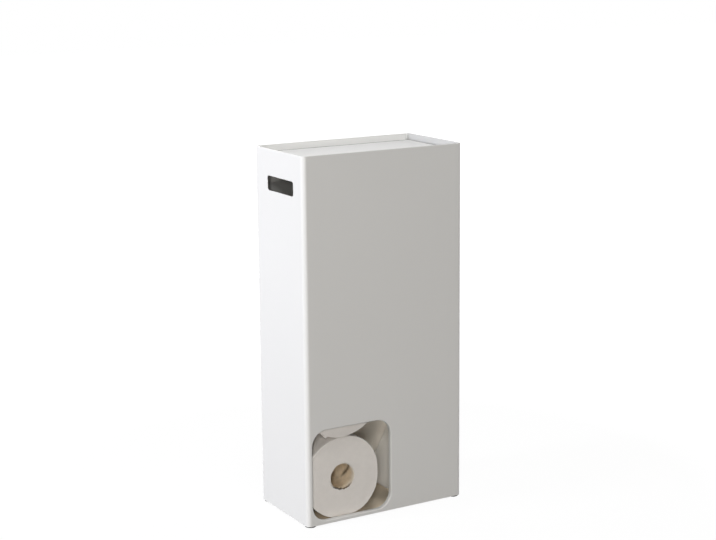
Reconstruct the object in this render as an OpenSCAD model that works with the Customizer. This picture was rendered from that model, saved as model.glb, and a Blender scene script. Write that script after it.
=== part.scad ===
// Toilet paper stand: a slim box of bent sheet steel that holds spare rolls.
// Rolls go in under the lift-off tray and come out of the window at the bottom left.
// Millimetres. The origin is on the ground at the middle of the footprint,
// the window faces -Y, and Z is up.

/* [Body] */
// Overall width
body_w = 255; // [245:1:320]
// Overall depth
body_d = 140; // [130:1:180]
// Height from the ground to the rim
body_h = 520; // [440:1:700]
// Thickness of the sheet steel
sheet_t = 1; // [0.8:0.1:1.4]
// Outside radius of the four upright bends
corner_r = 7; // [5:0.5:7]
// Height of the folded hem round the rim
hem_h = 8; // [5:0.5:9]
// Width of the two returns that the front shell bends round onto the back
return_w = 13; // [12:0.5:25]

/* [Window] */
// Clear width of the window
window_w = 126; // [120:1:140]
// Clear height of the window
window_h = 131; // [120:1:150]
// Corner radius of the clear window
window_r = 22.5; // [10:0.5:40]
// Distance from the left side to the clear window
window_side = 9; // [9:0.5:20]
// Distance from the shell's bottom edge to the clear window
window_sill = 5; // [5:0.5:12]
// How far the lip round the window reaches back from the front face
lip_depth = 6; // [3:0.5:7]
// Outside radius of the bend that starts the lip
lip_bend_r = 1.8; // [1.6:0.1:2]

/* [Hand slots] */
// Length of a hand slot
slot_l = 75; // [66:1:96]
// Height of a hand slot
slot_h = 20.5; // [17:0.5:28]
// Corner radius of a hand slot
slot_r = 4; // [2:0.5:8]
// Distance from the rim down to a hand slot
slot_drop = 37; // [35:1:60]
// How far a slot's middle lies ahead of the middle of the side
slot_ahead = 5.5; // [0:0.5:12]

/* [Floor pan] */
// Height of the pan's flanges at the sides and back
pan_flange_h = 12; // [8:1:20]
// Outside radius of the bend between pan and flange
pan_bend_r = 2; // [1.6:0.1:2.8]

/* [Guide plate] */
// Distance from the left side to the foot of the guide plate
guide_foot_x = 172; // [160:1:190]
// Slope of the guide plate from the floor, in degrees
guide_slope = 62; // [50:1:66]
// Width of the plate's two flanges, on the floor and on the right side
guide_flange_w = 14; // [8:1:20]
// Radius of the plate's bends at mid thickness
guide_bend_r = 2; // [1:0.5:4]

/* [Tray] */
// Depth of the tray's top below the rim
tray_drop = 9.5; // [9.5:0.5:14]
// Height of the tray's down-turned flange
tray_flange_h = 12; // [8:1:18]
// Outside radius of the bend round the tray's top
tray_bend_r = 2; // [1.6:0.1:2.4]
// Gap between the tray and the hem, all round
tray_gap = 1; // [0.5:0.1:1.4]

/* [Tray supports] */
// Length of an angle bracket along the wall
support_l = 22; // [12:1:30]
// Width of the leg that carries the tray
support_seat = 14; // [8:1:18]
// Height of the leg that is welded to the wall
support_leg = 9; // [6:1:10]
// Radius of a bracket's bend at mid thickness
support_bend_r = 1.5; // [1:0.5:3]
// Distance from the front or back face to the middle of a bracket
support_inset = 26; // [23:1:32]

/* [Feet] */
// Diameter of a foot
foot_d = 16; // [10:1:17]
// Height of a foot
foot_h = 2; // [1.5:0.5:5]
// Soft radius at the lower edge of a foot
foot_edge_r = 0.5; // [0.2:0.1:1]
// Distance from the outer faces to the middle of a foot
foot_inset = 9; // [8.5:0.5:25]

/* [Rolls] */
// Diameter of a full roll
roll_d = 117; // [100:1:118]
// Length of a roll
roll_l = 114; // [100:1:118]
// Inner diameter of the cardboard core
core_d = 38; // [30:1:45]
// Wall of the cardboard core
core_t = 0.8; // [0.5:0.1:1.5]
// Soft radius at the edges of the winding
roll_edge_r = 1.5; // [0.5:0.5:3]
// Distance from the front face back to the face of the rolls
roll_setback = 8; // [6.5:0.5:11]

/* [Hidden] */

// Working clearance between a loose piece and its seat
seat_gap = 0.3;
// Extra length of a cutting tool past the sheet
cut_over = 1;
// Flats that make up one bend of a bent strip
bend_steps = 8;
// Facets of a full circle
$fn = 64;

// The shell stands on the feet and its walls run from shell_z0 to the rim
shell_z0 = foot_h;
hem_z = body_h - hem_h;
inner_w = body_w - 2 * sheet_t;
inner_y0 = -body_d / 2 + sheet_t;
// The back panel laps inside the returns, so the clear depth ends two sheets in
inner_y1 = body_d / 2 - 2 * sheet_t;
inner_r = corner_r - sheet_t;
return_x = body_w / 2 - return_w;
panel_w = body_w - 2 * corner_r - 2 * seat_gap;

window_x = -body_w / 2 + window_side + window_w / 2;
window_z = shell_z0 + window_sill + window_h / 2;
slot_z = body_h - slot_drop - slot_h / 2;

pan_d = inner_y1 - inner_y0;
pan_y = (inner_y0 + inner_y1) / 2;
pan_top = shell_z0 + sheet_t;
// The pan's front flange stays under the bend of the window's lip
pan_front_h = window_sill - lip_bend_r - seat_gap;

guide_x = -body_w / 2 + guide_foot_x;
// The guide plate ends short of the bends at the pan's front and back
guide_l = pan_d - 2 * pan_bend_r - 2 * seat_gap;

tray_w = body_w - 4 * sheet_t - 2 * tray_gap;
tray_d = body_d - 4 * sheet_t - 2 * tray_gap;
tray_r = corner_r - 2 * sheet_t - tray_gap;
tray_top = body_h - tray_drop;
support_z = tray_top - tray_flange_h;

support_y = body_d / 2 - support_inset;

foot_x = body_w / 2 - foot_inset;
foot_y = body_d / 2 - foot_inset;

// The lower roll rests on the pan and against the left side
roll_x = -body_w / 2 + sheet_t + seat_gap + roll_d / 2;
roll_y = -body_d / 2 + roll_setback;
lower_z = pan_top + seat_gap + roll_d / 2;
upper_z = lower_z + roll_d + seat_gap;

steel_white = "whitesmoke";
foot_grey = "dimgray";
paper_white = "ivory";
card_brown = "tan";

// Flat shapes

module rounded_rect(w, h, r) {
    square([w - 2 * r, h], center = true);
    square([w, h - 2 * r], center = true);
    for (x = [-1, 1], y = [-1, 1])
        translate([x * (w / 2 - r), y * (h / 2 - r)])
            circle(r);
}

// A quarter ring of sheet from +X to +Y round the origin, outside radius r
module quarter_ring(r, t) {
    intersection() {
        difference() {
            circle(r);
            circle(r - t);
        }
        square(r);
    }
}

// Sheet of thickness t bent along the points, radius r at mid thickness
module bent_strip(points, t, r) {
    polygon(concat(strip_side(points, t / 2, r), reversed(strip_side(points, -t / 2, r))));
}

function heading(p, q) = atan2(q[1] - p[1], q[0] - p[0]);
function ahead(a) = [cos(a), sin(a)];
function left_of(a) = [-sin(a), cos(a)];
function wrapped(a) = a > 180 ? a - 360 : a < -180 ? a + 360 : a;
function reversed(list) = [for (i = [len(list) - 1:-1:0]) list[i]];

// One face of the strip, at an offset to the left of its middle line
function strip_side(points, offset, r) =
    let (last = len(points) - 1)
    [
        points[0] + offset * left_of(heading(points[0], points[1])),
        for (i = [1:last - 1]) each bend_side(points, i, offset, r),
        points[last] + offset * left_of(heading(points[last - 1], points[last]))
    ];

// The same face round the bend at point i, as a fan of short flats
function bend_side(points, i, offset, r) =
    let (
        a = heading(points[i - 1], points[i]),
        turned = wrapped(heading(points[i], points[i + 1]) - a),
        side = sign(turned),
        centre = points[i] - r * tan(abs(turned) / 2) * ahead(a) + side * r * left_of(a)
    )
    [for (k = [0:bend_steps]) centre + (offset - side * r) * left_of(a + turned * k / bend_steps)];

// Sweeps round a rounded rectangle: the child's x is outward from the path, its y is up

module straight_sweep(angle, reach, length) {
    rotate(angle)
        translate([reach, length / 2, 0])
            rotate([90, 0, 0])
                linear_extrude(length)
                    children();
}

module corner_sweep(w, d, r, quarter) {
    side = [[1, 1], [-1, 1], [-1, -1], [1, -1]][quarter];
    translate([side[0] * (w / 2 - r), side[1] * (d / 2 - r), 0])
        rotate(90 * quarter)
            rotate_extrude(angle = 90)
                translate([r, 0])
                    children();
}

module ring_sweep(w, d, r) {
    for (quarter = [0:3]) {
        corner_sweep(w, d, r, quarter)
            children();
        straight_sweep(90 * quarter, (quarter % 2 == 0 ? w : d) / 2, (quarter % 2 == 0 ? d : w) - 2 * r)
            children();
    }
}

// Wall sections

// The outer layer of sheet, from the bottom edge to the rounded rim
module outer_leaf() {
    translate([-sheet_t, shell_z0])
        square([sheet_t, body_h - sheet_t - shell_z0]);
    translate([-sheet_t, body_h - sheet_t])
        quarter_ring(sheet_t, sheet_t);
}

// The layer that the hem folds down inside it
module inner_leaf() {
    translate([-2 * sheet_t, hem_z])
        square([sheet_t, hem_h - sheet_t]);
    translate([-sheet_t, body_h - sheet_t])
        mirror([1, 0])
            quarter_ring(sheet_t, sheet_t);
}

module hemmed_wall() {
    translate([-sheet_t, shell_z0])
        square([sheet_t, hem_z - shell_z0]);
    translate([-2 * sheet_t, hem_z])
        square([2 * sheet_t, hem_h - sheet_t]);
    translate([-sheet_t, body_h - sheet_t])
        circle(sheet_t);
}

// The window's lip: a quarter bend from the front face, then a short leg
module lip_section() {
    translate([lip_bend_r, lip_bend_r])
        rotate(180)
            quarter_ring(lip_bend_r, sheet_t);
    translate([0, lip_bend_r])
        square([sheet_t, lip_depth - lip_bend_r]);
}

// Sheet steel pieces

module front_shell() {
    color(steel_white) {
        difference() {
            union() {
                straight_sweep(270, body_d / 2, body_w - 2 * corner_r)
                    hemmed_wall();
                for (side = [0, 180])
                    straight_sweep(side, body_w / 2, body_d - 2 * corner_r)
                        hemmed_wall();
                for (quarter = [0:3])
                    corner_sweep(body_w, body_d, corner_r, quarter)
                        hemmed_wall();
                for (side = [-1, 1])
                    translate([side * (return_x + body_w / 2 - corner_r) / 2, 0, 0])
                        straight_sweep(90, body_d / 2, return_w - corner_r)
                            outer_leaf();
            }
            window_cut();
            for (side = [-1, 1])
                slot_cut(side);
        }
        translate([window_x, -body_d / 2, window_z])
            rotate([-90, 0, 0])
                ring_sweep(window_w, window_h, window_r)
                    lip_section();
    }
}

// The hole in the flat front, up to where the lip's bend starts
module window_cut() {
    translate([window_x, -body_d / 2 - cut_over, window_z])
        rotate([-90, 0, 0])
            linear_extrude(sheet_t + 2 * cut_over)
                rounded_rect(window_w + 2 * lip_bend_r, window_h + 2 * lip_bend_r, window_r + lip_bend_r);
}

module slot_cut(side) {
    translate([side * (body_w - sheet_t) / 2, -slot_ahead, slot_z])
        rotate([90, 0, 90])
            linear_extrude(sheet_t + 2 * cut_over, center = true)
                rounded_rect(slot_l, slot_h, slot_r);
}

module back_panel() {
    color(steel_white) {
        translate([-panel_w / 2, inner_y1, shell_z0])
            cube([panel_w, sheet_t, hem_z - shell_z0]);
        straight_sweep(90, body_d / 2, panel_w)
            inner_leaf();
        straight_sweep(90, body_d / 2, 2 * (return_x - seat_gap))
            intersection() {
                outer_leaf();
                translate([-sheet_t, hem_z])
                    square([sheet_t, hem_h]);
            }
    }
}

module floor_pan() {
    color(steel_white)
        translate([0, pan_y, shell_z0])
            difference() {
                union() {
                    linear_extrude(sheet_t)
                        rounded_rect(
                            inner_w - 2 * pan_bend_r, pan_d - 2 * pan_bend_r, inner_r - pan_bend_r);
                    ring_sweep(inner_w, pan_d, inner_r)
                        pan_section();
                }
                translate([-inner_w / 2 - cut_over, -pan_d / 2 - cut_over, pan_front_h])
                    cube([inner_w + 2 * cut_over, inner_r + cut_over, pan_flange_h]);
            }
}

module pan_section() {
    translate([-pan_bend_r, pan_bend_r])
        rotate(270)
            quarter_ring(pan_bend_r, sheet_t);
    translate([-sheet_t, pan_bend_r])
        square([sheet_t, pan_flange_h - pan_bend_r]);
}

// The slope turns rolls from the right-hand column towards the window
module guide_plate() {
    color(steel_white)
        intersection() {
            translate([0, pan_y + guide_l / 2, 0])
                rotate([90, 0, 0])
                    linear_extrude(guide_l)
                        guide_section();
            translate([0, pan_y, 0])
                linear_extrude(body_h)
                    rounded_rect(inner_w, guide_l, corner_r);
        }
}

module guide_section() {
    half_t = sheet_t / 2;
    wall_x = body_w / 2 - sheet_t - half_t;
    floor_z = pan_top + half_t;
    slope_top = floor_z + (wall_x - guide_x) * tan(guide_slope);
    bent_strip([
        [guide_x + guide_flange_w, floor_z],
        [guide_x, floor_z],
        [wall_x, slope_top],
        [wall_x, slope_top + guide_flange_w]
    ], sheet_t, guide_bend_r);
}

// The lid: a flat top with a flange turned down all round
module tray() {
    color(steel_white)
        translate([0, 0, tray_top]) {
            translate([0, 0, -sheet_t])
                linear_extrude(sheet_t)
                    rounded_rect(
                        tray_w - 2 * tray_bend_r, tray_d - 2 * tray_bend_r, tray_r - tray_bend_r);
            ring_sweep(tray_w, tray_d, tray_r)
                tray_section();
        }
}

module tray_section() {
    translate([-tray_bend_r, -tray_bend_r])
        quarter_ring(tray_bend_r, sheet_t);
    translate([-sheet_t, -tray_flange_h])
        square([sheet_t, tray_flange_h - tray_bend_r]);
}

// An angle bracket on a side wall, whose top leg carries the tray's flange
module tray_support(x_side, y_side) {
    half_t = sheet_t / 2;
    wall_x = body_w / 2 - sheet_t - half_t;
    seat_z = support_z - half_t;
    color(steel_white)
        mirror([x_side < 0 ? 1 : 0, 0, 0])
            translate([0, y_side * support_y + support_l / 2, 0])
                rotate([90, 0, 0])
                    linear_extrude(support_l)
                        bent_strip([
                            [wall_x + half_t - support_seat, seat_z],
                            [wall_x, seat_z],
                            [wall_x, support_z - support_leg]
                        ], sheet_t, support_bend_r);
}

// A pad with a soft lower edge
module foot(x_side, y_side) {
    color(foot_grey)
        translate([x_side * foot_x, y_side * foot_y, 0])
            rotate_extrude()
                intersection() {
                    translate([0, foot_h])
                        rounded_rect(foot_d, 2 * foot_h, foot_edge_r);
                    square([foot_d / 2, foot_h]);
                }
}

// Rolls

module roll_at(z) {
    translate([roll_x, roll_y, z])
        rotate([-90, 0, 0])
            children();
}

module roll_paper(z) {
    inner = core_d / 2 + core_t;
    color(paper_white)
        roll_at(z)
            rotate_extrude()
                difference() {
                    translate([roll_d / 4, roll_l / 2])
                        rounded_rect(roll_d / 2, roll_l, roll_edge_r);
                    translate([-cut_over, -cut_over])
                        square([inner + cut_over, roll_l + 2 * cut_over]);
                }
}

module roll_core(z) {
    color(card_brown)
        roll_at(z)
            difference() {
                cylinder(d = core_d + 2 * core_t, h = roll_l);
                translate([0, 0, -cut_over])
                    cylinder(d = core_d, h = roll_l + 2 * cut_over);
            }
}

front_shell();
back_panel();
floor_pan();
guide_plate();
tray();
tray_support(-1, -1);  // tray_support_front_left
tray_support(1, -1);  // tray_support_front_right
tray_support(-1, 1);  // tray_support_back_left
tray_support(1, 1);  // tray_support_back_right
foot(-1, -1);  // foot_front_left
foot(1, -1);  // foot_front_right
foot(-1, 1);  // foot_back_left
foot(1, 1);  // foot_back_right
roll_paper(lower_z);  // lower_roll_paper
roll_core(lower_z);  // lower_roll_core
roll_paper(upper_z);  // upper_roll_paper
roll_core(upper_z);  // upper_roll_core
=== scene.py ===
"""A toilet paper stand of white sheet steel, dressed for a plain studio picture.

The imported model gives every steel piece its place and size. This script adds the finishes,
the two paper rolls and their cardboard cores, the light, the floor and the camera.
"""

import math

import bpy
import numpy as np
from mathutils import Matrix, Vector

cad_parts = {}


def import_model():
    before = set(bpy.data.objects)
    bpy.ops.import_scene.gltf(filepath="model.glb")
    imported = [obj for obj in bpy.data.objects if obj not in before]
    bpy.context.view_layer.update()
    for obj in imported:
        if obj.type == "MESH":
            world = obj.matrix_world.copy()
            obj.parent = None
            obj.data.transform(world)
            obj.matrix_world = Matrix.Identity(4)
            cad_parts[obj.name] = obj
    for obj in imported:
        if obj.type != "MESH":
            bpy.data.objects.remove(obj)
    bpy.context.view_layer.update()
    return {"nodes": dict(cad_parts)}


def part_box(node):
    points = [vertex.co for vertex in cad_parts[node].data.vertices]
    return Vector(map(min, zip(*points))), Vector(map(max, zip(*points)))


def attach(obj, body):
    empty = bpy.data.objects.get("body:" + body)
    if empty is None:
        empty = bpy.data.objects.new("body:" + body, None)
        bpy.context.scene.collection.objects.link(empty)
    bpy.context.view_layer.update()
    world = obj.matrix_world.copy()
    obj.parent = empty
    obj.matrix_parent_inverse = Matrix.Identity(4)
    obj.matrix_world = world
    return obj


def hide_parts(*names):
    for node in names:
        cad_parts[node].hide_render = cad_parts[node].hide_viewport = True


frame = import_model()

MM = 0.001
TAU = 2 * math.pi
SHEET = 1 * MM

# Camera, from the stand's edges in the photograph
CAMERA_AT = (-1.1096, -1.8914, 0.8032)
CAMERA_YAW = 30.345
CAMERA_PITCH = 11.199
CAMERA_ROLL = -0.53
CAMERA_LENS = 79.308
SENSOR_WIDTH = 36.0
IMAGE_WIDTH = 716
IMAGE_HEIGHT = 540
# The row of the photograph that lies on the lens axis
AXIS_ROW = 250

# Linear colours
COAT_WHITE = (0.75, 0.748, 0.738)
# Painted light: the tray's coat is lighter than the body's in place of light from above
COAT_TRAY_PAINTED_LIGHT = (0.9, 0.9, 0.89)
# Painted light and shade: the hem's inner side above the tray is lighter, its right side darker
COAT_HEM_PAINTED_LIGHT = (0.92, 0.92, 0.91)
COAT_RIGHT_HEM_PAINTED_SHADE = (0.58, 0.58, 0.575)
# Painted light: a warm, lighter tone inside behind the window, in place of light thrown about
# inside
COAT_INSIDE_PAINTED_LIGHT = (0.96, 0.905, 0.81)
# Painted light: the plate's coat, also used on the tray's supports, is whiter than the body's in
# place of light on it
COAT_PLATE_PAINTED_LIGHT = (0.98, 0.955, 0.90)
# Painted shade: the dim tone higher up inside
COAT_INSIDE_PAINTED_SHADE = (0.4, 0.4, 0.39)
# Painted light: the floor pan's coat is warm and light in place of warm light thrown back inside
COAT_FLOOR_PAINTED_LIGHT = (0.97, 0.85, 0.67)
FOAM_GREY = (0.022, 0.022, 0.023)
TISSUE_WHITE = (0.9, 0.863, 0.825)
BOARD_BROWN = (0.88, 0.74, 0.55)
# The joint's dark colour, also used as painted shade at the torn mouth; then painted light at the
# mouth
BOARD_SEAM_AND_SHADE = (0.11, 0.08, 0.05)
BOARD_PAINTED_LIGHT = (0.90, 0.84, 0.75)
FLOOR_PALE = (0.20, 0.20, 0.20)
AMBIENT = (0.045, 0.0445, 0.0435)
WHITE = (1.0, 1.0, 1.0)

# The shell's coat: heights between which the inside turns from painted warm light to painted
# shade, the tray's height, and how far the right hem's painted shade reaches in from the right side
# and the window's lip from the front
PAINTED_SHADE_FROM = (0.2, 0.3)
TRAY_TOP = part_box("tray")[1].z
HEM_REACH = 4 * MM
LIP_REACH = 6.5 * MM
PEEL_DEPTH = 0.03 * MM

# The floor: the share of plain white that the camera sees beside the stand, the distances over
# which it rises to 1, and the strength that makes up for the rest
FLOOR_WHITE_SHARE = 0.75
FLOOR_FADE = (0.5, 1.6)
FLOOR_GLOW = 1.27

# Each lamp: name, place, aim, width, height, watts and colour
LAMPS = (
    ("side_light", (-2.1, 0.3, 0.95), (-0.13, 0, 0.3), 0.5, 1.2, 41, (0.927, 0.942, 1.0)),
    ("low_light", (-2.66, -4.16, 0.09), (0, 0, 0.09), 0.55, 0.14, 44, (1.0, 0.955, 0.89)),
    ("middle_light", (-2.546, -3.98, 1.31), (0, 0, 0.1), 0.6, 0.5, 37, (1.0, 0.97, 0.93)),
    ("high_front_light", (-2.58, -4.11, 2.39), (0, 0, 0.1), 0.5, 0.4, 43, (1.0, 0.99, 0.97)),
    ("top_light", (-0.4, -1.0, 3.3), (0, 0, 0.5), 0.8, 0.8, 30, (1.0, 0.995, 0.98)),
    ("right_light", (2.8, 0.2, 1.2), (0, 0, 0.3), 1.0, 1.0, 30, (1.0, 0.99, 0.975)),
    ("back_light", (0.4, 2.9, 1.3), (0, 0, 0.3), 1.2, 1.0, 30, (1.0, 0.99, 0.975)))


# Node helpers

def put(tree, kind, inputs=None, **settings):
    """Adds one node, sets its own settings, then fills or links its named inputs."""
    made = tree.nodes.new(kind)
    for key, value in settings.items():
        setattr(made, key, value)
    for key, value in (inputs or {}).items():
        socket = made.inputs[key]
        if isinstance(value, bpy.types.NodeSocket):
            tree.links.new(value, socket)
        else:
            socket.default_value = value
    return made


def math_node(tree, operation, *values, clamp=False):
    """One Math node with its values in order; gives its output socket."""
    made = tree.nodes.new("ShaderNodeMath")
    made.operation = operation
    made.use_clamp = clamp
    for socket, value in zip(made.inputs, values):
        if isinstance(value, bpy.types.NodeSocket):
            tree.links.new(value, socket)
        else:
            socket.default_value = value
    return made.outputs[0]


def blend_colour(tree, factor, first, second):
    """Mixes two colours by a factor; gives the colour socket."""
    made = put(tree, "ShaderNodeMix", data_type="RGBA")
    for index, value in ((0, factor), (6, first), (7, second)):
        socket = made.inputs[index]
        if isinstance(value, bpy.types.NodeSocket):
            tree.links.new(value, socket)
        else:
            socket.default_value = (*value, 1.0) if isinstance(value, tuple) else value
    return made.outputs[2]


def spread(tree, value, low, high, to_low=0.0, to_high=1.0):
    """Maps low..high onto to_low..to_high, clamped."""
    made = put(tree, "ShaderNodeMapRange", {
        "Value": value, "From Min": low, "From Max": high,
        "To Min": to_low, "To Max": to_high})
    return made.outputs["Result"]


def noise(tree, vector, scale, detail=2.0, roughness=0.5):
    """Plain noise of a place, about 0.5 on average."""
    made = put(tree, "ShaderNodeTexNoise", {
        "Vector": vector, "Scale": scale, "Detail": detail, "Roughness": roughness})
    return made.outputs["Fac"]


def new_group(name, inputs, outputs):
    """An empty shader node group with named sockets; gives its tree, input node and output node."""
    tree = bpy.data.node_groups.new(name, "ShaderNodeTree")
    for label, kind, value in inputs:
        socket = tree.interface.new_socket(label, in_out="INPUT", socket_type=kind)
        if value is not None:
            socket.default_value = value
    for label, kind in outputs:
        tree.interface.new_socket(label, in_out="OUTPUT", socket_type=kind)
    return tree, tree.nodes.new("NodeGroupInput"), tree.nodes.new("NodeGroupOutput")


FLOAT, COLOUR, VECTOR = "NodeSocketFloat", "NodeSocketColor", "NodeSocketVector"


def powder_coat_group():
    """Powder coat: a fine orange peel, a slow drift of tone and a faint change of gloss."""
    tree, given, result = new_group(
        "powder_coat_surface",
        [("Vector", VECTOR, None), ("Tone", COLOUR, (*COAT_WHITE, 1.0)),
         ("Peel scale", FLOAT, 620.0), ("Drift", FLOAT, 0.03), ("Gloss", FLOAT, 0.42)],
        [("Colour", COLOUR), ("Roughness", FLOAT), ("Height", FLOAT)])
    vector = given.outputs["Vector"]
    peel = noise(tree, vector, given.outputs["Peel scale"], detail=1.5, roughness=0.55)
    slow = noise(tree, vector, scale=7.0, detail=3.0, roughness=0.55)
    hands = noise(tree, vector, scale=34.0, detail=4.0, roughness=0.6)
    drift = math_node(tree, "MULTIPLY", slow, given.outputs["Drift"])
    shade = math_node(tree, "SUBTRACT", 1.0, drift)
    toned = put(tree, "ShaderNodeVectorMath", {0: given.outputs["Tone"]}, operation="SCALE")
    tree.links.new(shade, toned.inputs["Scale"])
    handled = spread(tree, hands, 0.35, 0.75, to_low=-0.03, to_high=0.06)
    rough = math_node(tree, "ADD", given.outputs["Gloss"], handled)
    tree.links.new(toned.outputs[0], result.inputs["Colour"])
    tree.links.new(rough, result.inputs["Roughness"])
    tree.links.new(peel, result.inputs["Height"])
    return tree


def fibre_group():
    """Paper or board: short fibres, a cloudy formation and a grain in the surface."""
    tree, given, result = new_group(
        "fibre_surface",
        [("Vector", VECTOR, None), ("Fine scale", FLOAT, 1400.0), ("Cloud scale", FLOAT, 120.0)],
        [("Cloud", FLOAT), ("Fibre", FLOAT)])
    vector = given.outputs["Vector"]
    cloud = noise(tree, vector, given.outputs["Cloud scale"], detail=4.0, roughness=0.6)
    fibre = noise(tree, vector, given.outputs["Fine scale"], detail=6.0, roughness=0.7)
    tree.links.new(cloud, result.inputs["Cloud"])
    tree.links.new(fibre, result.inputs["Fibre"])
    return tree


POWDER = powder_coat_group()
FIBRE = fibre_group()


def new_material(name):
    """A material with a bare Principled shader; gives the material, its tree and the shader."""
    material = bpy.data.materials.new(name)
    material.use_nodes = True
    tree = material.node_tree
    tree.nodes.clear()
    shader = put(tree, "ShaderNodeBsdfPrincipled")
    output = put(tree, "ShaderNodeOutputMaterial")
    tree.links.new(shader.outputs[0], output.inputs["Surface"])
    return material, tree, shader


def object_place(tree):
    """The place on the object, in metres."""
    return put(tree, "ShaderNodeTexCoord").outputs["Object"]


def bump(tree, height, distance, strength=1.0, normal=None):
    """The normal raised by a height of up to a distance, over another normal if one is given."""
    given = {"Height": height, "Distance": distance, "Strength": strength}
    if normal is not None:
        given["Normal"] = normal
    return put(tree, "ShaderNodeBump", given).outputs["Normal"]


def scaled(colour, factor):
    """A colour times a factor."""
    return tuple(factor * c for c in colour)


def inside(tree, place, low, high):
    """1 where a place lies between two corners, else 0."""
    split = put(tree, "ShaderNodeSeparateXYZ", {"Vector": place})
    product = 1.0
    for axis, least, most in zip("XYZ", low, high):
        above = math_node(tree, "GREATER_THAN", split.outputs[axis], least)
        below = math_node(tree, "LESS_THAN", split.outputs[axis], most)
        product = math_node(tree, "MULTIPLY", product, math_node(tree, "MULTIPLY", above, below))
    return product


def powder_coat(name, tone=COAT_WHITE, gloss=0.42, drift=0.03, shine=0.4, room=None):
    """The coat. In a room, given by two corners, it is painted warm and light behind the window to
    stand in for light thrown about inside, and painted dim as shade higher up.

    Above the tray the hem's inner side is painted lighter for light thrown up from the tray, apart
    from the right side, which is painted darker as shade.
    """
    material, tree, shader = new_material(name)
    surface = put(tree, "ShaderNodeGroup", node_tree=POWDER)
    place = object_place(tree)
    tree.links.new(place, surface.inputs["Vector"])
    surface.inputs["Tone"].default_value = (*tone, 1.0)
    if room is not None:
        split = put(tree, "ShaderNodeSeparateXYZ", {"Vector": place})
        height = split.outputs["Z"]
        # Painted light behind the window, fading to painted shade higher up
        inner = blend_colour(tree, spread(tree, height, *PAINTED_SHADE_FROM), COAT_INSIDE_PAINTED_LIGHT, COAT_INSIDE_PAINTED_SHADE)
        right = math_node(tree, "GREATER_THAN", split.outputs["X"], room[1][0] - HEM_REACH)
        # Painted light on the hem above the tray, painted shade on its right side
        hem_painted_light_and_shade = blend_colour(tree, right, COAT_HEM_PAINTED_LIGHT, COAT_RIGHT_HEM_PAINTED_SHADE)
        inner = blend_colour(tree, math_node(tree, "GREATER_THAN", height, TRAY_TOP), inner, hem_painted_light_and_shade)
        within = inside(tree, place, *room)
        tree.links.new(blend_colour(tree, within, tone, inner), surface.inputs["Tone"])
    surface.inputs["Gloss"].default_value = gloss
    surface.inputs["Drift"].default_value = drift
    tree.links.new(surface.outputs["Colour"], shader.inputs["Base Color"])
    tree.links.new(surface.outputs["Roughness"], shader.inputs["Roughness"])
    peel = bump(tree, surface.outputs["Height"], PEEL_DEPTH, strength=0.6)
    tree.links.new(peel, shader.inputs["Normal"])
    shader.inputs["Specular IOR Level"].default_value = shine
    return material


def foam_rubber():
    """Dark closed-cell foam: small pores and a dull surface."""
    material, tree, shader = new_material("foot_foam")
    place = object_place(tree)
    pores = put(tree, "ShaderNodeTexVoronoi", {"Vector": place, "Scale": 1500.0})
    cloud = noise(tree, place, scale=300.0, detail=3.0)
    grey = blend_colour(tree, cloud, FOAM_GREY, scaled(FOAM_GREY, 1.8))
    tree.links.new(grey, shader.inputs["Base Color"])
    pitted = bump(tree, pores.outputs["Distance"], 0.15 * MM, strength=0.7)
    tree.links.new(pitted, shader.inputs["Normal"])
    shader.inputs["Roughness"].default_value = 0.9
    return material


def tissue():
    """Soft tissue: winding lines on the ends, embossed dots outside, painted shade in their
    grooves, fibres.
    """
    material, tree, shader = new_material("tissue_paper")
    place = object_place(tree)
    fibres = put(tree, "ShaderNodeGroup", node_tree=FIBRE)
    tree.links.new(place, fibres.inputs["Vector"])
    wrap = put(tree, "ShaderNodeUVMap", uv_map="wrap").outputs[0]
    split = put(tree, "ShaderNodeSeparateXYZ", {"Vector": wrap})
    across, round_way = split.outputs["X"], split.outputs["Y"]
    # The first coordinate counts windings on the ends and embossing rows outside
    lines = math_node(tree, "SINE", math_node(tree, "MULTIPLY", across, TAU))
    around = math_node(tree, "SINE", math_node(tree, "MULTIPLY", round_way, TAU))
    is_end = put(tree, "ShaderNodeAttribute", attribute_name="end_face").outputs["Fac"]
    is_side = math_node(tree, "SUBTRACT", 1.0, is_end)
    dots = math_node(tree, "MULTIPLY", lines, around)
    relief = math_node(
        tree, "ADD", math_node(tree, "MULTIPLY", lines, is_end),
        math_node(tree, "MULTIPLY", dots, is_side))
    clouds = spread(tree, fibres.outputs["Cloud"], 0.3, 0.7)
    painted_relief_shade = spread(tree, relief, -1.0, 1.0)
    # Random cloudy tone plus painted shade: the relief's grooves darker, its crests lighter
    shade = math_node(
        tree, "ADD", math_node(tree, "MULTIPLY", clouds, 0.5),
        math_node(tree, "MULTIPLY", painted_relief_shade, 0.35))
    white = blend_colour(tree, shade, scaled(TISSUE_WHITE, 0.93), TISSUE_WHITE)
    tree.links.new(white, shader.inputs["Base Color"])
    raised = bump(tree, relief, 0.16 * MM, strength=0.6)
    fluffy = bump(tree, fibres.outputs["Fibre"], 0.12 * MM, strength=0.7, normal=raised)
    tree.links.new(fluffy, shader.inputs["Normal"])
    shader.inputs["Roughness"].default_value = 0.95
    shader.inputs["Specular IOR Level"].default_value = 0.15
    shader.inputs["Sheen Weight"].default_value = 0.15
    return material


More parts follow.
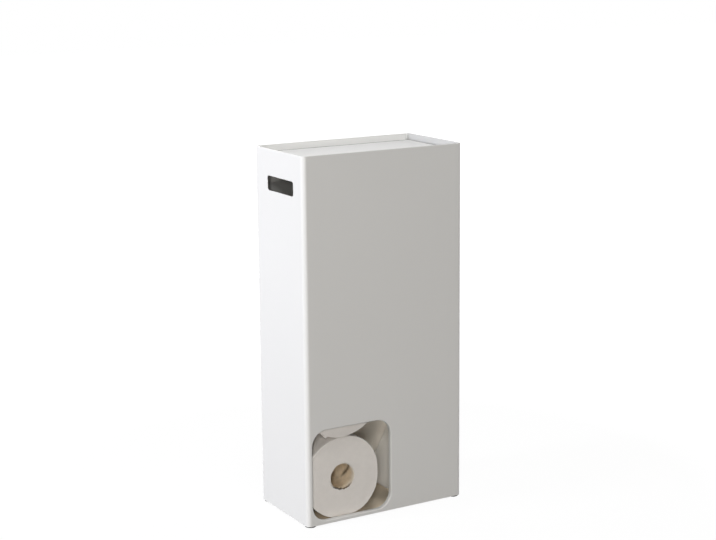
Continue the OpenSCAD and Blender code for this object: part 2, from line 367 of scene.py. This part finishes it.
def core_board():
    """Grey-brown board painted lighter at its mouth, a dark spiral joint, painted shade where torn.
    """
    material, tree, shader = new_material("core_board")
    fibres = put(tree, "ShaderNodeGroup", node_tree=FIBRE)
    tree.links.new(object_place(tree), fibres.inputs["Vector"])
    seam_and_mouth_shade = put(tree, "ShaderNodeAttribute", attribute_name="seam_and_mouth_shade").outputs["Fac"]
    painted_mouth_light = put(tree, "ShaderNodeAttribute", attribute_name="painted_mouth_light").outputs["Fac"]
    clouds = spread(tree, fibres.outputs["Cloud"], 0.3, 0.7)
    mottled = blend_colour(tree, clouds, scaled(BOARD_BROWN, 0.8), BOARD_BROWN)
    # Painted light at the mouth, then the joint's dark colour, which also lays painted shade on the
    # torn mouth
    board = blend_colour(tree, painted_mouth_light, mottled, BOARD_PAINTED_LIGHT)
    tree.links.new(blend_colour(tree, seam_and_mouth_shade, board, BOARD_SEAM_AND_SHADE), shader.inputs["Base Color"])
    rough = bump(tree, fibres.outputs["Fibre"], 0.12 * MM, strength=0.6)
    tree.links.new(rough, shader.inputs["Normal"])
    shader.inputs["Roughness"].default_value = 0.85
    shader.inputs["Specular IOR Level"].default_value = 0.2
    return material


# Mesh helpers

def closed_grid(name, points, material, uv=None, attributes=None):
    """A mesh from a grid of points that closes on itself both ways, so it has no seam and no pole.

    points has the shape (rows, columns, 3). Each face joins a row and a column to the next, and
    the last joins the first again. uv has the shape (rows + 1, columns + 1, 2), so the map can run
    on past its start at the closing faces. Each attribute is one value for each grid point.
    """
    rows, columns = points.shape[:2]
    row, column = np.meshgrid(np.arange(rows), np.arange(columns), indexing="ij")
    next_row, next_column = (row + 1) % rows, (column + 1) % columns
    faces = np.stack([
        row * columns + column, next_row * columns + column,
        next_row * columns + next_column, row * columns + next_column], -1).reshape(-1, 4)
    mesh = bpy.data.meshes.new(name)
    mesh.from_pydata(points.reshape(-1, 3).tolist(), [], faces.tolist())
    mesh.polygons.foreach_set("use_smooth", np.ones(len(faces), bool))
    if uv is not None:
        corners = np.stack([uv[:-1, :-1], uv[1:, :-1], uv[1:, 1:], uv[:-1, 1:]], 2)
        mesh.uv_layers.new(name="wrap").data.foreach_set("uv", corners.astype(np.float32).ravel())
    for label, values in (attributes or {}).items():
        mesh.attributes.new(label, "FLOAT", "POINT").data.foreach_set(
            "value", values.astype(np.float32).ravel())
    mesh.materials.append(material)
    mesh.update()
    made = bpy.data.objects.new(name, mesh)
    bpy.context.scene.collection.objects.link(made)
    return made


def waves(angle, seed, strongest, counts):
    """A smooth closed ripple round a circle: a sum of sines with seeded phases and sizes.

    It is no larger than strongest. counts gives how many waves each sine makes in a turn.
    """
    rng = np.random.default_rng(seed)
    phases = rng.uniform(0, TAU, len(counts))
    sizes = rng.uniform(0.4, 1.0, len(counts))
    total = sum(s * np.sin(n * angle + p) for s, n, p in zip(sizes, counts, phases))
    return strongest * total / sizes.sum()


def ease(x):
    """Smooth step from 0 to 1 as x runs from 0 to 1."""
    x = np.clip(x, 0, 1)
    return x * x * (3 - 2 * x)


# The rolls

class RollPlace:
    """Where a roll lies: its axis runs along Y through (x, z), from y0 at the front to y1."""

    def __init__(self, paper, core):
        low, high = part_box(paper)
        self.x = (low.x + high.x) / 2
        self.radius = (high.x - low.x) / 2
        self.z = low.z + self.radius
        self.y0, self.y1 = low.y, high.y
        core_low, core_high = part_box(core)
        self.core_radius = (core_high.x - core_low.x) / 2

    def points(self, radius, angle, y):
        """Grid points at a radius and an angle from +X towards +Z, at depth y."""
        x = self.x + radius * np.cos(angle)
        z = self.z + radius * np.sin(angle)
        return np.stack(np.broadcast_arrays(x, y, z), -1)


# The tissue: room between it and its place at the outside and the ends, how round its rims are,
# and how far its ends are dished
TISSUE_ROOM = 0.05 * MM
END_ROOM = 0.35 * MM
EDGE_SOFT = 0.9 * MM
END_DISH = 0.45 * MM
# Its fine relief: waves of the outline and of the ends, the winding lines on the ends, and by what
# share the crumple of its bore's mouth varies
OUTLINE_WAVE = 0.1 * MM
END_RIPPLE = 0.22 * MM
END_WANDER = 0.1 * MM
LINE_HEIGHT = 0.05 * MM
CRUMPLE_RIPPLE = 0.25
WINDING_PITCH = 2.4 * MM
EMBOSS_PITCH = 5.0 * MM
# Its grid columns along the outside, across an end and along the bore
SIDE_STEPS, END_STEPS, BORE_STEPS = 46, 56, 18
# The core: its wall, the room round it and at its front and rear
CORE_WALL = 0.8 * MM
CORE_ROOM = 0.12 * MM
CORE_BACK = (1.4 * MM, 1.2 * MM)
# Its spiral joint: depth of a full turn, length seen and over which it fades, width and how that
# wanders, the step beside it and its width, and the groove
CORE_TURN = 128 * MM
JOINT_LENGTH = 34 * MM
JOINT_FADE = 8 * MM
JOINT_WIDTH = 3.0 * MM
JOINT_WANDER = 1.2 * MM
JOINT_STEP = 0.25 * MM
JOINT_RAMP = 9 * MM
JOINT_GROOVE = 0.2 * MM
# How deep the painted shade at its torn mouth and the painted light at its mouth reach, and the
# waves of that light's edge, of the cut and of the torn place
MOUTH_SHADE_DEEP = 6 * MM
MOUTH_LIGHT_DEEP = 12 * MM
MOUTH_LIGHT_WAVE = 2 * MM
CUT_WAVE = 0.5 * MM
TORN_DENT = 0.7 * MM
TORN_WAVE = 1.2 * MM
# Where a roll that lies squeezed in the stand bulges: angle, width and height
BULGES = (
    (math.radians(58), 0.4, 2.5 * MM), (math.radians(28), 0.33, 1.6 * MM),
    (math.radians(-24), 0.26, 1.5 * MM), (math.radians(-50), 0.3, 1.9 * MM))
# Where the bore's mouth is pushed in, or out if below 0: angle, width, depth in tissue and core
PUSHED = (
    (math.radians(-108), 0.6, 2.2 * MM, 3.2 * MM),
    (math.radians(180), 0.7, 1.0 * MM, 1.7 * MM),
    (math.radians(5), 0.65, -1.6 * MM, -0.8 * MM),
    (math.radians(78), 0.5, -1.1 * MM, -0.5 * MM))
# How deep that reaches
MOUTH = 20 * MM
# Where the core's mouth is torn: angle and width
TORN = (math.radians(-88), 0.8)
# The loose tip of paper at the upper roll's front rim: angle, width and length, then its twist in
# radians for each metre of depth, and its depth
LOOSE_TIP = (math.radians(-114.5), 0.034, 3.1 * MM)
TIP_TWIST = 9
TIP_DEEP = 9 * MM
# Each roll: level, seed, where its core's joint starts, and its loose tip
ROLLS = (("lower", 4, math.radians(59), None), ("upper", 9, math.radians(200), LOOSE_TIP))


def bell(angle, middle, width):
    """A bell curve of an angle, 1 at its middle, the short way round."""
    return np.exp(-(np.angle(np.exp(1j * (angle - middle))) / width) ** 2)


def roll_profile(outer, inner, y0, y1):
    """The tissue's section as rows of radius, depth and how far each point belongs to an end.

    It runs forward along the outside, over the soft front rim by a quarter circle, in across the
    end, over a smaller rim, back along the bore, and out across the rear end the same way.
    """
    quarter = np.linspace(0, math.pi / 2, 7)[1:-1]
    soft, fine = EDGE_SOFT, EDGE_SOFT / 2
    side_y = np.linspace(y1 - soft, y0 + soft, SIDE_STEPS)
    end_r = np.linspace(outer - soft, inner + fine, END_STEPS)
    bore_y = np.linspace(y0 + fine, y1 - fine, BORE_STEPS)
    parts = [
        (np.full_like(side_y, outer), side_y, 0.0),
        (outer - soft + soft * np.cos(quarter), y0 + soft - soft * np.sin(quarter), 0.5),
        (end_r, np.full_like(end_r, y0), 1.0),
        (inner + fine - fine * np.sin(quarter), y0 + fine - fine * np.cos(quarter), 0.6),
        (np.full_like(bore_y, inner), bore_y, 0.0),
        (inner + fine - fine * np.cos(quarter), y1 - fine + fine * np.sin(quarter), 0.6),
        (end_r[::-1], np.full_like(end_r, y1), 1.0),
        (outer - soft + soft * np.sin(quarter), y1 - soft + soft * np.cos(quarter), 0.5),
    ]
    radius, depth = (np.concatenate([part[i] for part in parts])[None, :] for i in (0, 1))
    on_end = np.concatenate([np.full(len(part[0]), part[2]) for part in parts])[None, :]
    return radius, depth, on_end


def squeezed(angle, outer, seed):
    """How far the outline leaves its circle: bell curves, cut flat at the square round it."""
    bulge = waves(angle, seed, OUTLINE_WAVE, (2, 3, 5)) + sum(
        bell(angle, at, width) * high for at, width, high in BULGES)
    square = outer / np.maximum(np.abs(np.cos(angle)), np.abs(np.sin(angle)))
    return np.minimum(outer + bulge, square) - outer


def loose_paper(angle, share, behind, tip):
    """A tip that stands out from the front rim by a bell curve, turned a little with depth."""
    at, width, length = tip
    reach = length * bell(angle + behind * TIP_TWIST, at, width)
    return reach * ease((share - 0.85) / 0.12) * ease(1 - behind / TIP_DEEP)


def crumpled_mouth(angle, share, behind, seed):
    """How far the bore is pushed in: rippled bell curves that end at the mouth's depth."""
    crumple = sum(bell(angle, at, width) * deep for at, width, deep, _ in PUSHED)
    crumple = crumple * (1 + waves(angle, seed, CRUMPLE_RIPPLE, (11, 17, 23)))
    return crumple * ease(1 - share * 4) * ease(1 - behind / MOUTH)


def end_relief(angle, radius, share, seed):
    """How deep an end lies: dished, with slow sines round and across it and winding lines."""
    ripple = waves(angle, seed + 2, END_RIPPLE, (1, 2, 4))
    wander = END_WANDER * np.sin(TAU * share * 2.3 + 2 * angle + seed)
    wander = wander * np.sin(math.pi * np.clip(share, 0, 1))
    turned = radius / WINDING_PITCH + angle / TAU
    lines = LINE_HEIGHT * np.sin(TAU * turned) * ease(share * 6) * ease((1 - share) * 6)
    return END_DISH + ripple * share + wander + lines


def paper_roll(name, place, seed, tip=None, turns=480):
    """The wound tissue as one closed skin: rows round the roll, columns round its profile.

    The radius is the profile's, plus how far the roll is squeezed out of round and its loose tip,
    less how far the bore's mouth is crumpled. The depth is the profile's, with the relief of both
    ends turned inwards. The map counts windings on the ends and rows of embossing outside.
    """
    outer = place.radius - TISSUE_ROOM
    inner = place.core_radius + TISSUE_ROOM
    y0, y1 = place.y0 + END_ROOM, place.y1 - END_ROOM
    radius, depth, on_end = roll_profile(outer, inner, y0, y1)
    angle = np.linspace(0, TAU, turns, endpoint=False)[:, None]
    share = (radius - inner) / (outer - inner)
    behind = depth - y0
    swell = squeezed(angle, outer, seed) * ease(share)
    if tip is not None:
        swell = swell + loose_paper(angle, share, behind, tip)
    crumple = crumpled_mouth(angle, share, behind, seed + 1)
    inwards = np.where(depth < (y0 + y1) / 2, 1.0, -1.0)
    inset = on_end * end_relief(angle, radius, share, seed)
    points = place.points(radius + swell - crumple, angle, depth + inwards * inset)

    is_end = np.where(on_end > 0.4, 1.0, 0.0)
    along = np.where(on_end > 0.4, radius / (WINDING_PITCH / 2), depth / EMBOSS_PITCH)
    along, spiral = (np.concatenate([a, a[:, :1]], 1) for a in (along, is_end))
    turned = np.arange(turns + 1)[:, None] / turns
    first = along + turned * spiral
    second = np.broadcast_to(turned * round(TAU * outer / EMBOSS_PITCH), first.shape)
    ends = np.broadcast_to(is_end, points.shape[:2])
    return closed_grid(name, points, TISSUE, np.stack([first, second], -1), {"end_face": ends})


def tube_profile(outer, inner, y0, y1):
    """The tube's section as rows of radius, depth and how far each point lies inside.

    It runs back along the inside, over the rear rim by a half circle, forward along the outside
    and over the front rim.
    """
    steps = np.linspace(0, 1, 60)
    rim = np.linspace(0, math.pi, 6)[1:-1]
    half, mid = (outer - inner) / 2, (outer + inner) / 2
    length = y1 - y0 - 2 * half
    radius = np.concatenate([
        np.full_like(steps, inner), mid - half * np.cos(rim),
        np.full_like(steps, outer), mid + half * np.cos(rim)])
    depth = np.concatenate([
        y0 + half + length * steps, y1 - half + half * np.sin(rim),
        y1 - half - length * steps, y0 + half - half * np.sin(rim)])
    within = np.concatenate([
        np.ones_like(steps), np.full_like(rim, 0.5),
        np.zeros_like(steps), np.full_like(rim, 0.5)])
    return radius[None, :], depth[None, :], within[None, :]


def core_tube(name, place, seed, joint_start, turns=240):
    """The cardboard core as one closed skin: rows round the tube, columns round its profile.

    A shallow spiral joint inside follows angle = start - lead times depth and closes further in.
    The mouth is pushed in and out as the tissue's is; below it is torn, with painted shade along
    the cut, and round the rest of the mouth it is painted lighter.
    """
    outer = place.core_radius - CORE_ROOM
    inner = place.core_radius - CORE_WALL
    y0, y1 = place.y0 + CORE_BACK[0], place.y1 - CORE_BACK[1]
    radius, depth, within = tube_profile(outer, inner, y0, y1)
    angle = np.linspace(0, TAU, turns, endpoint=False)[:, None]
    behind = depth - y0

    off = np.angle(np.exp(1j * (angle - joint_start + TAU / CORE_TURN * behind))) * inner
    width = JOINT_WIDTH + waves(depth * 400, seed + 7, JOINT_WANDER, (3, 5, 8))
    fade = 0.12 + 0.8 * ease((JOINT_LENGTH - behind) / JOINT_FADE)
    groove = np.exp(-(off / width) ** 2) * within * fade
    step = JOINT_STEP * within * ease(1 - np.abs(off) / JOINT_RAMP) * np.where(off > 0, 1.0, 0.0)

    near_front = ease(1 - behind / (MOUTH + 3 * MM))
    press = bell(angle, *TORN)
    dent = sum(bell(angle, at, width) * deep for at, width, _, deep in PUSHED)
    dent = near_front * (dent + press * waves(angle, seed, TORN_DENT, (11, 17, 23)))
    ragged = waves(angle, seed + 3, CUT_WAVE, (3, 5, 8))
    ragged = near_front * (ragged + press * waves(angle, seed + 4, TORN_WAVE, (17, 23, 31)))
    points = place.points(
        radius - dent - step * 0.5 + groove * JOINT_GROOVE * within, angle, depth + ragged)

    # Painted shade at the torn part of the mouth, and painted light round the rest of the mouth
    painted_mouth_shade = ease(press * 1.6) * ease(1 - behind / MOUTH_SHADE_DEEP)
    mouth_light_edge = waves(angle, seed + 5, MOUTH_LIGHT_WAVE, (3, 7, 13))
    painted_mouth_light = ease(1 - (behind - mouth_light_edge) / MOUTH_LIGHT_DEEP) * (1 - press)
    return closed_grid(
        name, points, BOARD, None, {"seam_and_mouth_shade": np.maximum(groove, painted_mouth_shade), "painted_mouth_light": painted_mouth_light})


# Finishes

def storage_room():
    """Two corners of the space behind the window's lip, a little into the sheets."""
    low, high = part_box("front_shell")
    near = (low.x + 0.7 * SHEET, low.y + LIP_REACH, low.z)
    far = (high.x - 0.7 * SHEET, high.y - 1.5 * SHEET, high.z)
    return near, far


COAT = powder_coat("coat_body", room=storage_room())
TRAY_COAT_PAINTED_LIGHT = powder_coat("coat_tray_painted_light", COAT_TRAY_PAINTED_LIGHT, gloss=0.5, drift=0.04, shine=0.2)
PLATE_COAT_PAINTED_LIGHT = powder_coat("coat_plate_painted_light", COAT_PLATE_PAINTED_LIGHT, gloss=0.5)
FLOOR_COAT_PAINTED_LIGHT = powder_coat("coat_floor_painted_light", COAT_FLOOR_PAINTED_LIGHT, gloss=0.5)
FOAM = foam_rubber()
TISSUE = tissue()
BOARD = core_board()


def finish_node(node, material):
    """Gives a carried steel piece or foot its finish."""
    slots = frame["nodes"][node].data.materials
    slots.clear()
    slots.append(material)


for node in ("front_shell", "back_panel"):
    finish_node(node, COAT)
finish_node("floor_pan", FLOOR_COAT_PAINTED_LIGHT)
finish_node("guide_plate", PLATE_COAT_PAINTED_LIGHT)
for node in frame["nodes"]:
    if node.startswith("tray_support"):
        finish_node(node, PLATE_COAT_PAINTED_LIGHT)
    if node.startswith("foot"):
        finish_node(node, FOAM)
finish_node("tray", TRAY_COAT_PAINTED_LIGHT)

for level, seed, joint_start, tip in ROLLS:
    paper_node, core_node = level + "_roll_paper", level + "_roll_core"
    place = RollPlace(paper_node, core_node)
    paper = paper_roll(level + "_roll_tissue", place, seed, tip)
    core = core_tube(level + "_roll_tube", place, seed, joint_start)
    for piece, node, slot in ((paper, paper_node, "roll_paper"), (core, core_node, "roll_core")):
        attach(piece, level + "_roll")
        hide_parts(node)


# Studio

def camera():
    """The camera at its place, turned by its yaw, pitch and roll, with the photograph's framing."""
    yaw, pitch, roll = (math.radians(a) for a in (CAMERA_YAW, CAMERA_PITCH, CAMERA_ROLL))
    right = Vector((math.cos(yaw), -math.sin(yaw), 0))
    level = Vector((math.sin(yaw), math.cos(yaw), 0))
    ahead = level * math.cos(pitch) - Vector((0, 0, math.sin(pitch)))
    up = right.cross(ahead)
    turned_right = right * math.cos(roll) + up * math.sin(roll)
    turned_up = up * math.cos(roll) - right * math.sin(roll)
    data = bpy.data.cameras.new("camera")
    data.sensor_fit = "HORIZONTAL"
    data.sensor_width = SENSOR_WIDTH
    data.lens = CAMERA_LENS
    data.shift_y = (AXIS_ROW - IMAGE_HEIGHT / 2) / IMAGE_WIDTH
    data.clip_start, data.clip_end = 0.05, 60
    made = bpy.data.objects.new("camera", data)
    made.matrix_world = Matrix.Translation(CAMERA_AT) @ Matrix(
        (turned_right, turned_up, -ahead)).transposed().to_4x4()
    bpy.context.scene.collection.objects.link(made)
    bpy.context.scene.camera = made


def seen_white(tree):
    """1 where a ray comes from the camera, from gloss or through glass: those see plain white."""
    rays = put(tree, "ShaderNodeLightPath").outputs
    either = math_node(tree, "MAXIMUM", rays["Is Camera Ray"], rays["Is Glossy Ray"])
    return math_node(tree, "MAXIMUM", either, rays["Is Transmission Ray"])


def world():
    """A plain world: faint grey light, seen as white."""
    made = bpy.data.worlds.new("studio")
    made.use_nodes = True
    tree = made.node_tree
    tree.nodes.clear()
    colour = blend_colour(tree, seen_white(tree), AMBIENT, WHITE)
    background = put(tree, "ShaderNodeBackground", {"Color": colour, "Strength": 1.0})
    output = put(tree, "ShaderNodeOutputWorld")
    tree.links.new(background.outputs[0], output.inputs["Surface"])
    bpy.context.scene.world = made


def studio_floor(half=9.0, cells=12):
    """A pale floor that the camera sees as white, apart from the stand's own soft shadow."""
    side = np.linspace(-half, half, cells + 1)
    x, y = np.meshgrid(side, side, indexing="ij")
    count = len(side)
    corner = (np.arange(count - 1)[:, None] * count + np.arange(count - 1)[None, :]).ravel()
    faces = np.stack([corner, corner + count, corner + count + 1, corner + 1], -1)
    mesh = bpy.data.meshes.new("studio_floor")
    mesh.from_pydata(np.stack([x, y, 0 * x], -1).reshape(-1, 3).tolist(), [], faces.tolist())
    made = bpy.data.objects.new("studio_floor", mesh)
    bpy.context.scene.collection.objects.link(made)
    material, tree, shader = new_material("floor_pale")
    shader.inputs["Base Color"].default_value = (*FLOOR_PALE, 1.0)
    shader.inputs["Roughness"].default_value = 0.9
    shader.inputs["Specular IOR Level"].default_value = 0.0
    white = put(tree, "ShaderNodeEmission", {"Color": (*WHITE, 1.0), "Strength": FLOOR_GLOW})
    far = put(tree, "ShaderNodeVectorMath", {0: object_place(tree)}, operation="LENGTH")
    share = spread(tree, far.outputs["Value"], *FLOOR_FADE, FLOOR_WHITE_SHARE, 1.0)
    shown = math_node(tree, "MULTIPLY", seen_white(tree), share)
    mixed = put(tree, "ShaderNodeMixShader", {"Fac": shown})
    tree.links.new(shader.outputs[0], mixed.inputs[1])
    tree.links.new(white.outputs[0], mixed.inputs[2])
    output = next(n for n in tree.nodes if n.type == "OUTPUT_MATERIAL")
    tree.links.new(mixed.outputs[0], output.inputs["Surface"])
    mesh.materials.append(material)


def soft_box(name, at, aim, width, height, power, colour):
    """A rectangular lamp at a place, turned towards its aim."""
    data = bpy.data.lights.new(name, "AREA")
    data.shape = "RECTANGLE"
    data.size, data.size_y = width, height
    data.energy = power
    data.color = colour
    made = bpy.data.objects.new(name, data)
    made.location = at
    made.rotation_euler = (Vector(aim) - Vector(at)).to_track_quat("-Z", "Y").to_euler()
    bpy.context.scene.collection.objects.link(made)


camera()
world()
studio_floor()
for lamp in LAMPS:
    soft_box(*lamp)

bpy.context.scene.view_settings.view_transform = "Standard"
